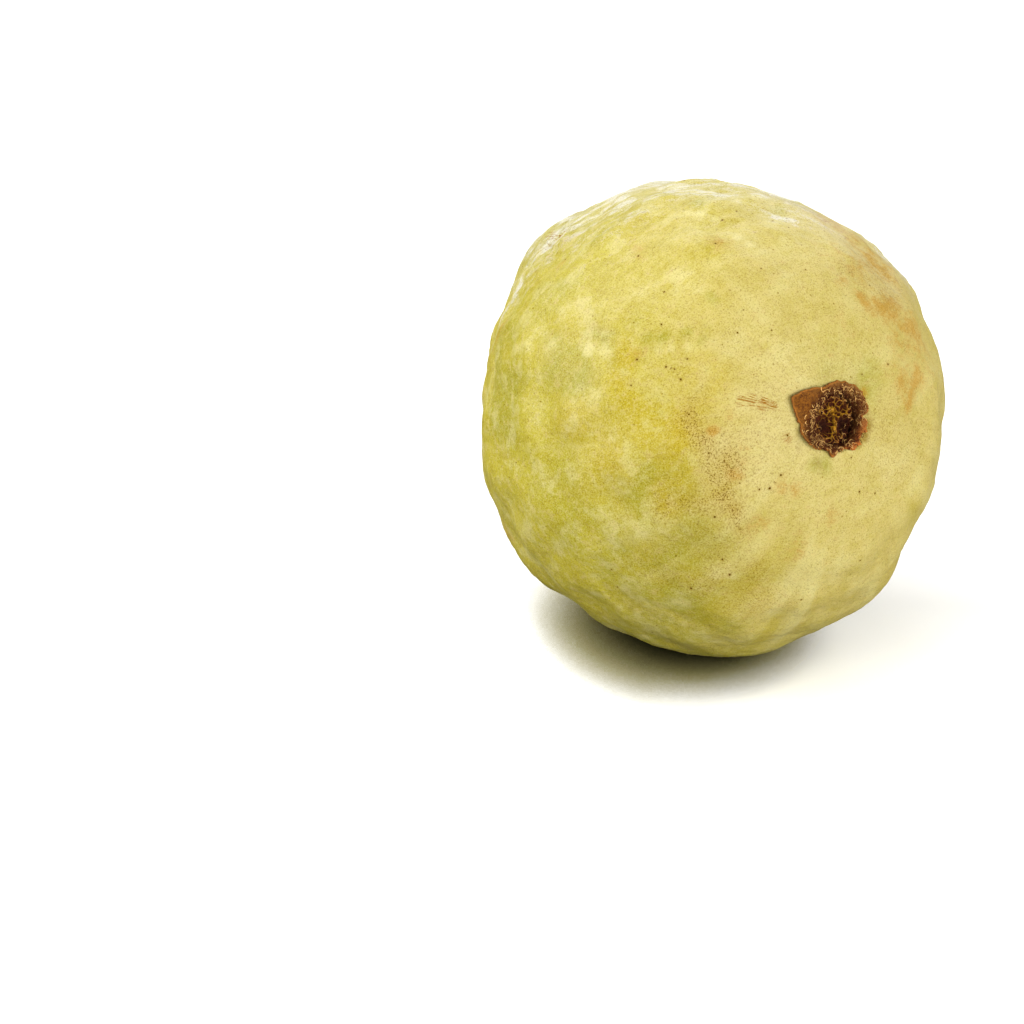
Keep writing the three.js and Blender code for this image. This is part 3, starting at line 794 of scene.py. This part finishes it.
def lobe_ring(share, over):
    reach = CALYX_NECK + (edge - CALYX_NECK) * share
    at = ring * reach[:, None]
    thick = SEPAL_THICKNESS * (0.45 + 0.55 * lobed) * (1 - 0.62 * share ** 3)
    crumple = 0.30 * (ridges_at(at, 2.6) - 1.1) + 0.22 * noise_at(at, 1.1, 9.0)
    veins = 0.07 * np.sin(26 * turn + 3 * noise_at(at, 2.0)) * share
    curl = share ** 4 * (0.75 * noise_at(ring * 5, 1.9, 2.0) + 0.12 + 0.7 * lifted)
    upper = thick + crumple * (0.35 + 0.65 * share) + veins
    at[:, 2] = skin_under(at) + SEPAL_CLEARANCE + curl + over * upper
    return at


def cup_ring(radius, height, uneven=1.0):
    pucker = 1 + uneven * (0.02 * np.sin(7 * turn) + 0.03 * noise_at(ring * radius, 0.9, 6.0))
    at = ring * radius * pucker[:, None]
    at[:, 2] = height
    return at


under = [lobe_ring(s, 0) for s in np.linspace(0.12, 0.97, 9)]
over = [lobe_ring(s, 1) for s in np.linspace(1.0, 0.0, LOBE_ROWS)]
lip_height = over[-1][:, 2]
inside = []
for deep in np.linspace(0, 1, CUP_ROWS):
    radius = CUP_LIP + 0.25 * (1 - deep) ** 3 - 0.65 * deep
    inside.append(cup_ring(radius, lip_height * (1 - deep) ** 1.3 + CUP_FLOOR * deep))
neck = [(CALYX_NECK - 0.6, -CALYX_DEPTH), (CALYX_NECK, -CALYX_DEPTH + 0.7), (CALYX_NECK, 0.0)]
calyx_rows = [cup_ring(*at, uneven=0) for at in neck] + under + over + inside + [cup_ring(2.0, CUP_FLOOR)]
calyx_points, calyx_faces = closed_body([0, 0, -CALYX_DEPTH], calyx_rows, [0, 0, CUP_FLOOR], CALYX_COLUMNS)


def at_calyx(local):
    return laid_down(local + [CALYX_OFFSET, 0, CALYX_POLE])


calyx = mesh_object("calyx_cup", at_calyx(calyx_points), calyx_faces)

# The two lobes at the sides differ: the upper left one is smooth, the rest are fuzzy, and the rim is
# reddest low on the right.
angle = np.degrees(np.arctan2(calyx_points[:, 1], calyx_points[:, 0]))
distance = np.hypot(calyx_points[:, 0], calyx_points[:, 1])
smooth_lobe = bump(degrees_from(angle, 146), 40) * smoothstep(distance, 5.0, 6.4)
mark(calyx, "fuzz", 1 - smooth_lobe)
mark(calyx, "blush", bump(degrees_from(angle, -60), 46) * smoothstep(distance, 4.6, 5.6))
mark(calyx, "margin", np.concatenate([[0], np.tile(edge, len(calyx_rows)), [0]]) - distance)
# The cup is painted darker the deeper it goes, as painted shade.
mark(calyx, "depth", smoothstep(-calyx_points[:, 2], -0.4, 2.2) * (distance < CUP_LIP + 0.3))

# Dried stamens lie on the rim and the lobes' upper sides, thickest on the left and at the bottom, and
# short ones on the fuzzy lobe. The leather under them is painted darker, as painted shade.
calyx_bed = np.concatenate(over + inside)
bed_angle = np.degrees(np.arctan2(calyx_bed[:, 1], calyx_bed[:, 0]))
bed_reach = np.hypot(calyx_bed[:, 0], calyx_bed[:, 1])


def near_bearing(at, width):
    return bump(degrees_from(bed_angle, at), width)


inland = smoothstep(np.tile(edge, LOBE_ROWS + CUP_ROWS) - bed_reach, 0.15, 0.9)
around_rim = bump(bed_reach - 5.2 - 1.2 * near_bearing(208, 38), 0.6 + 1.1 * near_bearing(208, 38))
where_many = near_bearing(205, 50) + 0.7 * near_bearing(265, 30) + 0.9 * near_bearing(95, 40)
rim_thickness = inland * around_rim * np.clip(0.4 + where_many, 0, 1) * smoothstep(bed_reach, 4.6, 5.0)
lobe_thickness = inland * near_bearing(42, 44) * bump(bed_reach - 5.9, 0.9)
before_bed = 1 + CALYX_COLUMNS * (len(neck) + len(under))
mark(calyx, "shade_under_stamens", np.concatenate([
    np.zeros(before_bed), np.maximum(rim_thickness, 0.5 * lobe_thickness), np.zeros(CALYX_COLUMNS + 1),
]))

# What every dried piece is made of: cells and fibres in two sizes, from a dark colour to a light one.
tissue, asked = new_group(
    "dry tissue", "ShaderNodeTree", {"Place": "Vector", "Grain": "Float", "Dark": "Color", "Light": "Color"},
    {"Colour": "Color", "Height": "Float"},
)
coarse = fractal(asked["Place"], asked["Grain"], 4, 0.65, 0.6)
level = coarse * 0.6 + fractal(asked["Place"], asked["Grain"] * 4.3) * 0.4
tissue_colour = blended(mapped(level, 0.36, 0.66), asked["Dark"], asked["Light"])
add(tissue, "NodeGroupOutput", {"Colour": tissue_colour, "Height": level})


def dry_tissue(tree, grain, dark, light):
    inputs = {"Place": in_millimetres(tree), "Grain": grain, "Dark": dark, "Light": light}
    made = add(tree, "ShaderNodeGroup", inputs, node_tree=tissue).outputs
    return Wire(made["Colour"]), Wire(made["Height"])


def dry_finish(tree, colour, height, relief_depth, roughness=0.78):
    finish(tree, "ShaderNodeBsdfPrincipled", {
        "Base Color": colour, "Normal": bumped(height, relief_depth), "Roughness": roughness,
        "Specular IOR Level": 0.14,
    })


calyx_leather, tree = new_material("dried calyx")
leather, leather_height = dry_tissue(tree, 2.6, paint(70, 33, 6), paint(156, 96, 26))
fuzzy, fuzzy_height = dry_tissue(tree, 3.0, paint(74, 36, 10), paint(178, 124, 58))
margin = attribute(tree, "margin")
colour = layered(
    leather,
    (attribute(tree, "fuzz") * 0.8, fuzzy),
    (mapped(margin, 0.5, 0.15, 0, 0.55), paint(190, 122, 46)),
    (mapped(margin, 0.12, 0, 0, 0.6), paint(84, 40, 16)),
    (attribute(tree, "blush") * 0.55, paint(198, 108, 46)),
    # painted shade under the stamens
    (attribute(tree, "shade_under_stamens") * 0.65, paint(66, 28, 8)),
    # painted shade, darker deeper in the cup
    (attribute(tree, "depth"), paint(44, 14, 6)),
)
dry_finish(tree, colour, leather_height + fuzzy_height, 0.0003)
calyx.data.materials.append(calyx_leather)
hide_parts("calyx")
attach(calyx, "root")

# ------------------------------------------------------------
# Floral disc: the corky floor of the flower, a raised net of ridges with a deep pit on each side of a
# middle ridge, sunk in the cup. Broken stamens lie round its edge, most of them along it.

DISC_RADIUS, DISC_TOP = 4.35, -0.8
RIDGE_X, RIDGE_HEIGHT, RIDGE_WIDTH, RIDGE_REACH = 0.3, 0.45, 0.32, 2.6
DISC_PITS = [(-1.8, -0.8, 1.3, 1.5), (2.6, -1.6, 1.4, 1.9)]  # x, y, depth, width
NET_CELL, NET_HEIGHT, NET_LINE = 1.02, 0.8, 0.34
DISC_COLUMNS, DISC_ROWS = 300, 56

_, disc_ring = unit_ring(DISC_COLUMNS)
disc_radii = DISC_RADIUS * np.linspace(1, 0.015, DISC_ROWS)
disc_place = (disc_radii[:, None, None] * disc_ring).reshape(-1, 3)
disc_x, disc_y, _ = disc_place.T
disc_r = np.hypot(disc_x, disc_y)

# The net's cells: a staggered grid, each centre moved a little.
draw = np.random.default_rng(7)
cells = np.array([
    (NET_CELL * (i + 0.5 * (j % 2)), NET_CELL * 0.87 * j) for i in range(-6, 7) for j in range(-6, 7)
])
cells += draw.uniform(-0.32, 0.32, cells.shape) * NET_CELL
wavy_x, wavy_y = (disc + 0.45 * noise_at(disc_place, 0.9, k) for disc, k in ((disc_x, 11.0), (disc_y, 12.0)))
gaps = np.hypot(wavy_x[:, None] - cells[:, 0], wavy_y[:, None] - cells[:, 1])
gaps.partition(1, axis=1)
net = 1 - smoothstep(gaps[:, 1] - gaps[:, 0], 0.04, NET_LINE)
net *= np.clip(0.72 + 0.9 * noise_at(disc_place, 1.3, 3.0), 0.15, 1.25)
in_pits = [deep * bump(np.hypot(disc_x - x, disc_y - y), width) for x, y, deep, width in DISC_PITS]
in_pit = np.max(in_pits, axis=0)
middle_ridge = (1 - smoothstep(abs(disc_y), RIDGE_REACH - 0.8, RIDGE_REACH + 0.4)) * bump(
    disc_x - RIDGE_X + 0.25 * noise_at(disc_place, 1.2, 8.0), RIDGE_WIDTH
)
disc_z = DISC_TOP + 0.35 * bump(disc_r - 3.8, 0.5) + RIDGE_HEIGHT * middle_ridge - 1.1 * in_pit
disc_z += NET_HEIGHT * net * (1 - 0.5 * smoothstep(in_pit, 0.3, 0.8)) - 0.25
disc_z += 0.10 * noise_at(disc_place, 0.35, 1.0)
disc_z = np.maximum(disc_z, CUP_FLOOR + 0.12)
disc_bottom = CUP_FLOOR + 0.06
disc_foot = disc_ring * DISC_RADIUS + [0, 0, disc_bottom]
disc_top = np.stack([disc_x, disc_y, disc_z], axis=-1)
disc_points, disc_faces = closed_body(
    [0, 0, disc_bottom], [disc_foot, disc_top], [0, 0, disc_z[-1]], DISC_COLUMNS
)
disc = mesh_object("floral_disc_net", at_calyx(disc_points), disc_faces)


def on_disc(values, below):
    """Values of the disc's upper side, and one for its foot and underside."""
    return np.concatenate([np.full(DISC_COLUMNS + 1, below), values, [0]])


raised_lines = np.maximum(net, 1.1 * middle_ridge) * (1 - 0.5 * smoothstep(in_pit, 0.4, 0.9))
mark(disc, "lines", on_disc(raised_lines, 0))
# The pits are painted darker, as painted shade.
mark(disc, "pit", on_disc(smoothstep(in_pit, 0.5, 1.1), 0))
mark(disc, "rim", on_disc(smoothstep(disc_r, 2.9, 4.1), 1))

cork, tree = new_material("floral disc cork")
dark_floor, floor_height = dry_tissue(tree, 3.4, paint(32, 8, 3), paint(96, 42, 12))
ochre_lines, line_height = dry_tissue(tree, 4.2, paint(146, 94, 12), paint(212, 160, 44))
pink_lines, _ = dry_tissue(tree, 4.2, paint(152, 88, 28), paint(226, 166, 80))
colour = layered(
    dark_floor,
    (mapped(attribute(tree, "lines"), 0.25, 0.85), blended(attribute(tree, "rim"), ochre_lines, pink_lines)),
    # painted shade in the pits
    (attribute(tree, "pit") * 0.7, paint(36, 10, 4)),
)
dry_finish(tree, colour, floor_height + line_height, 0.0002)
disc.data.materials.append(cork)
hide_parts("floral_disc")
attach(disc, "root")

# One tree lays tapering fibres on a surface round the Z axis, along the ring or standing up.
ASKED = {
    "Geometry": "Geometry", "Per square mm": "Float", "Length": "Float", "Thickness": "Float",
    "Standing": "Float", "Curl": "Float", "Seed": "Int", "Material": "Material",
}
laying, asked = new_group("fibres round an axis", "GeometryNodeTree", ASKED, {"Geometry": "Geometry"})
laying.is_modifier = True


def lay(kind, output, inputs=None, **settings):
    return wire(laying, kind, output, inputs, **settings)


def chance(seed, low, high):
    return lay("FunctionNodeRandomValue", 1, {2: low, 3: high, "Seed": seed}, data_type="FLOAT")


thick = lay("GeometryNodeInputNamedAttribute", "Attribute", {"Name": "thick"}, data_type="FLOAT")
roots = lay("GeometryNodeDistributePointsOnFaces", "Points", {
    "Mesh": asked["Geometry"], "Density": asked["Per square mm"] * 1e6 * thick, "Seed": asked["Seed"],
})
bow = lay("GeometryNodeCurveQuadraticBezier", "Curve", {
    "Resolution": 7, "Start": (0, 0, 0), "Middle": (0.6, 0.75, 0.3), "End": (0.9, 0, 0.1),
})
taper = maths("MULTIPLY_ADD", lay("GeometryNodeSplineParameter", "Factor"), -0.7, 1.0)
tapered = lay("GeometryNodeSetCurveRadius", "Curve", {"Curve": bow, "Radius": taper})
section = lay("GeometryNodeCurvePrimitiveCircle", "Curve", {
    "Resolution": 3, "Radius": asked["Thickness"] * 0.5 / asked["Length"],
})
strand = lay("GeometryNodeCurveToMesh", "Mesh", {
    "Curve": tapered, "Profile Curve": section, "Fill Caps": True,
})
round_ring = vector_maths("CROSS_PRODUCT", (0, 0, 1), lay("GeometryNodeInputPosition", "Position"))
aimed = lay("FunctionNodeAlignRotationToVector", "Rotation", {"Vector": round_ring}, axis="X")
lean = chance(asked["Seed"], asked["Standing"] * -2.0, asked["Standing"] * -0.3)
flip = lay("FunctionNodeRandomValue", 3, {"Seed": 9}, data_type="BOOLEAN")
heading = maths("MULTIPLY_ADD", flip, math.pi, chance(5, -1.3, 1.3))
swing = lay("ShaderNodeCombineXYZ", "Vector", {"Y": lean, "Z": heading})
swung = lay(
    "FunctionNodeRotateRotation", "Rotation", {"Rotation": aimed, "Rotate By": swing}, rotation_space="LOCAL"
)
long = chance(3, asked["Length"] * 0.55, asked["Length"] * 1.3)
planted = lay("GeometryNodeInstanceOnPoints", "Instances", {
    "Points": roots, "Instance": strand, "Rotation": swung, "Scale": long,
})
toned = lay("GeometryNodeStoreNamedAttribute", "Geometry", {
    "Geometry": planted, "Name": "tone", "Value": chance(11, 0.0, 1.0),
}, data_type="FLOAT", domain="INSTANCE")
real = lay("GeometryNodeRealizeInstances", "Geometry", {"Geometry": toned})
wind = lay("ShaderNodeTexNoise", "Color", {"Scale": 900.0, "Detail": 1.0})
curled = scaled(vector_maths("SUBTRACT", wind, (0.5, 0.5, 0.5)), asked["Curl"])
bent = lay("GeometryNodeSetPosition", "Geometry", {"Geometry": real, "Offset": curled})
coloured = lay("GeometryNodeSetMaterial", "Geometry", {"Geometry": bent, "Material": asked["Material"]})
add(laying, "NodeGroupOutput", {"Geometry": coloured})


def fibres(name, bed_points, bed_faces, thick, material, to_place, *sizes):
    """Fibres on a bed given in millimetres about an axis, made a plain mesh and then put in place. Their
    sizes are as ASKED, from the number to the seed."""
    bed = mesh_object(name + "_bed", bed_points / 1000, bed_faces)
    mark(bed, "thick", thick)
    modifier = bed.modifiers.new("fibres", "NODES")
    modifier.node_group = laying
    sockets = {s.name: s.identifier for s in laying.interface.items_tree if s.in_out == "INPUT"}
    for socket, value in zip(list(ASKED)[1:], (*sizes, material)):
        modifier[sockets[socket]] = value
    ready = bed.evaluated_get(bpy.context.evaluated_depsgraph_get())
    mesh = bpy.data.meshes.new_from_object(ready)
    bed.modifiers.remove(modifier)
    bpy.data.objects.remove(bed)
    spots = np.empty(len(mesh.vertices) * 3)
    mesh.vertices.foreach_get("co", spots)
    mesh.vertices.foreach_set("co", to_place(spots.reshape(-1, 3) * 1000).ravel())
    mesh.update()
    return linked(bpy.data.objects.new(name, mesh))


stamen_brown, tree = new_material("dried stamens")
strand_tone = mapped(attribute(tree, "tone"), 0.5, 1.05)
_, strand_height = dry_tissue(tree, 6.0, paint(0, 0, 0), paint(255, 255, 255))
dry_finish(tree, blended(strand_tone, paint(84, 36, 10), paint(255, 200, 118)), strand_height, 0.0001, 0.7)

# They grow on the calyx's rim and lobes, and a few on the net.
calyx_bed_faces = grid_faces(LOBE_ROWS + CUP_ROWS, CALYX_COLUMNS)
net_bed, net_bed_faces = disc_points[DISC_COLUMNS + 1:-1], grid_faces(DISC_ROWS, DISC_COLUMNS)
on_net = 0.15 + 0.85 * smoothstep(disc_r, 3.0, 4.0)
CURLS = [  # name, bed, faces, where thick; how many to a square mm, length, thickness, standing, curl, seed
    ("rim_curls", calyx_bed, calyx_bed_faces, rim_thickness, 14.0, 0.0009, 0.00011, 0.35, 0.0009, 4),
    ("lobe_fuzz", calyx_bed, calyx_bed_faces, lobe_thickness, 13.0, 0.0006, 0.00008, 0.7, 0.0007, 12),
    ("net_strands", net_bed, net_bed_faces, on_net, 2.6, 0.0007, 0.00009, 0.4, 0.0007, 15),
]
for name, bed, bed_faces, thick, *sizes in CURLS:
    stamens = fibres(name, bed, bed_faces, thick, stamen_brown, at_calyx, *sizes)
    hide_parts("floral_disc")
    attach(stamens, "root")

# ------------------------------------------------------------
# Stem: the woody stalk, snapped off short in its dimple. It is pleated down its sides, and its torn end
# is a crown of splinters.

STEM_RADIUS, STEM_DEPTH = 3.3, 2.2
STEM_COLUMNS, TOP_ROWS = 240, 26
SPLINTER_SIZES = (4.5, 0.0017, 0.00026, 0.7, 0.00025, 21)  # in the curls' order

stem_turn, stem_ring = unit_ring(STEM_COLUMNS)


def stem_row(radius, height):
    pleats = 0.05 * abs(np.sin(2.5 * stem_turn)) + 0.03 * abs(np.sin(4 * stem_turn + 1))
    pleats += 0.035 * np.sin(31 * stem_turn + 2 * noise_at(stem_ring * 3, 0.8)) * min(1, radius / 2)
    at = stem_ring * radius * (1 - pleats)[:, None]
    shreds = 0.45 * (ridges_at(at, 1.1, 5.0) - 1.1) * smoothstep(np.array(height), 0.0, 0.6)
    at[:, 2] = height + shreds
    return at


stem_profile = [(STEM_RADIUS - 0.2, -STEM_DEPTH), (STEM_RADIUS, -STEM_DEPTH + 0.2)]
stem_profile += [(STEM_RADIUS, h) for h in np.linspace(-STEM_DEPTH + 0.5, 0.4, 10)]
stem_profile += [(STEM_RADIUS - 0.25, 0.85), (STEM_RADIUS - 0.5, 1.1)]
top_radii = np.linspace(2.6, 0.1, TOP_ROWS)
stem_profile += [(r, 0.7 + 0.4 * bump(r - 2.9, 0.5) + 0.2 * bump(r, 1.0)) for r in top_radii]
stem_rows = [stem_row(*radius_and_height) for radius_and_height in stem_profile]
stem_points, stem_faces = closed_body(
    [0, 0, -STEM_DEPTH], stem_rows, [0, 0, stem_rows[-1][:, 2].mean()], STEM_COLUMNS
)


def at_stem(local):
    return laid_down(local * [1, -1, -1] - [0, 0, STEM_POLE])


stem = mesh_object("stem_plug", at_stem(stem_points), stem_faces)
mark(stem, "tone", smoothstep(stem_points[:, 2], -0.5, 1.3))

stalk_wood, tree = new_material("stalk wood")
wood, wood_height = dry_tissue(tree, 2.2, paint(84, 50, 24), paint(176, 134, 84))
wood = blended(mapped(attribute(tree, "tone"), 0.0, 1.0, 0.55, 0.0), wood, paint(34, 18, 10))
dry_finish(tree, wood, wood_height, 0.0005)
stem.data.materials.append(stalk_wood)

stem_bed = np.concatenate(stem_rows[-TOP_ROWS:])
all_over = np.ones(len(stem_bed))
splinters = fibres(
    "stem_splinters", stem_bed, grid_faces(TOP_ROWS, STEM_COLUMNS), all_over, stalk_wood, at_stem,
    *SPLINTER_SIZES,
)
for piece in (stem, splinters):
    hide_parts("stem")
    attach(piece, "root")
